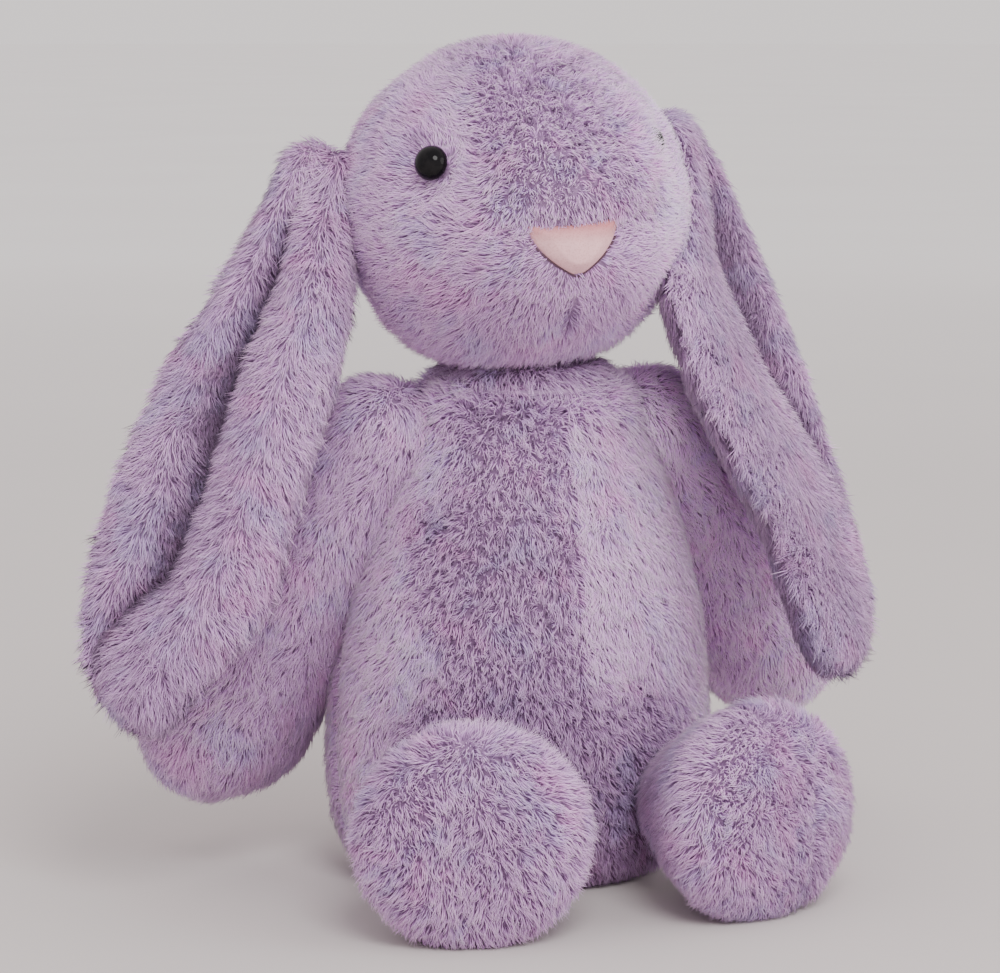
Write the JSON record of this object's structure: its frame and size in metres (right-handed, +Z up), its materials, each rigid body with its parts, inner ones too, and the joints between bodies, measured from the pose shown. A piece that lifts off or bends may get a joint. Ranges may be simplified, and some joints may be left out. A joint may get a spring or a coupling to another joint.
{
  "type": "stuffed bunny rabbit",
  "caption": "Seated plush rabbit with long folded hanging ears, velour nose, glossy eyes and big round feet; head, ears, arms and legs move on their seams",
  "frame": {"origin": "on the seat panel under the torso, on the plane the rabbit sits on, below the neck", "axes": "+Z up, -Y the way the rabbit faces, -X its right side"},
  "size_m": [0.3793, 0.2376, 0.3685],
  "materials": {
    "pile_fabric": "long soft lilac pile on a knitted backing, mottled with grey and pink",
    "nose_velour": "short pink velour",
    "thread": "twisted sewing thread",
    "eye_plastic": "polished black",
    "washer_plastic": "moulded, plain",
    "fibre_filling": "loose polyester fibre",
    "ear_wadding": "thin soft wadding",
    "pellet_bag": "woven inner bag of plastic pellets"
  },
  "bodies": {
    "torso": {"torso_front_right": "pile_fabric", "torso_front_left": "pile_fabric", "torso_back_right": "pile_fabric", "torso_back_left": "pile_fabric", "torso_seat": "pile_fabric", "torso_stuffing": "fibre_filling", "pellet_bag": "pellet_bag", "tail_cover": "pile_fabric", "tail_stuffing": "fibre_filling", "neck_closing_thread": "thread"},
    "neck": {"neck_stuffing": "fibre_filling"},
    "head": {"head_side_right": "pile_fabric", "head_side_left": "pile_fabric", "head_gusset": "pile_fabric", "head_stuffing": "fibre_filling", "nose_patch": "nose_velour", "mouth_stitch": "thread", "eye_right": "eye_plastic", "eye_left": "eye_plastic", "eye_washer_right": "washer_plastic", "eye_washer_left": "washer_plastic"},
    "ear_right": {"ear_back_right": "pile_fabric", "ear_lining_right": "pile_fabric", "ear_wadding_right": "ear_wadding"},
    "arm_right": {"arm_front_right": "pile_fabric", "arm_back_right": "pile_fabric", "arm_stuffing_right": "fibre_filling"},
    "leg_right": {"leg_top_right": "pile_fabric", "leg_bottom_right": "pile_fabric", "sole_right": "pile_fabric", "leg_stuffing_right": "fibre_filling"},
    "ear_left": {"ear_back_left": "pile_fabric", "ear_lining_left": "pile_fabric", "ear_wadding_left": "ear_wadding"},
    "arm_left": {"arm_front_left": "pile_fabric", "arm_back_left": "pile_fabric", "arm_stuffing_left": "fibre_filling"},
    "leg_left": {"leg_top_left": "pile_fabric", "leg_bottom_left": "pile_fabric", "sole_left": "pile_fabric", "leg_stuffing_left": "fibre_filling"}
  },
  "joints": [
    {"name": "neck_turn", "type": "hinge", "parent": "torso", "child": "neck", "pos_m": [0, 0, 0.225], "axis": [0, 0, 1], "range_deg": [-5, 5]},
    {"name": "head_nod", "type": "hinge", "parent": "neck", "child": "head", "pos_m": [0, 0, 0.225], "axis": [1, 0, 0], "range_deg": [-8, 6]},
    {"name": "ear_lift_right", "type": "hinge", "parent": "head", "child": "ear_right", "pos_m": [-0.08949, 0.01228, 0.31393], "axis": [0, 1, 0], "range_deg": [0, 115]},
    {"name": "ear_lift_left", "type": "hinge", "parent": "head", "child": "ear_left", "pos_m": [0.07269, 0.01228, 0.32811], "axis": [0, -1, 0], "range_deg": [0, 115]},
    {"name": "arm_swing_right", "type": "hinge", "parent": "torso", "child": "arm_right", "pos_m": [-0.076, 0.006, 0.195], "axis": [-0.9848, 0, 0.1736], "range_deg": [-35, 31]},
    {"name": "arm_swing_left", "type": "hinge", "parent": "torso", "child": "arm_left", "pos_m": [0.072, 0.006, 0.195], "axis": [-1, 0, 0], "range_deg": [-35, 15]},
    {"name": "leg_swing_right", "type": "hinge", "parent": "torso", "child": "leg_right", "pos_m": [-0.052, -0.062, 0.042], "axis": [1, 0, 0], "range_deg": [-20, 65]},
    {"name": "leg_swing_left", "type": "hinge", "parent": "torso", "child": "leg_left", "pos_m": [0.052, -0.062, 0.042], "axis": [1, 0, 0], "range_deg": [-20, 65]}
  ]
}
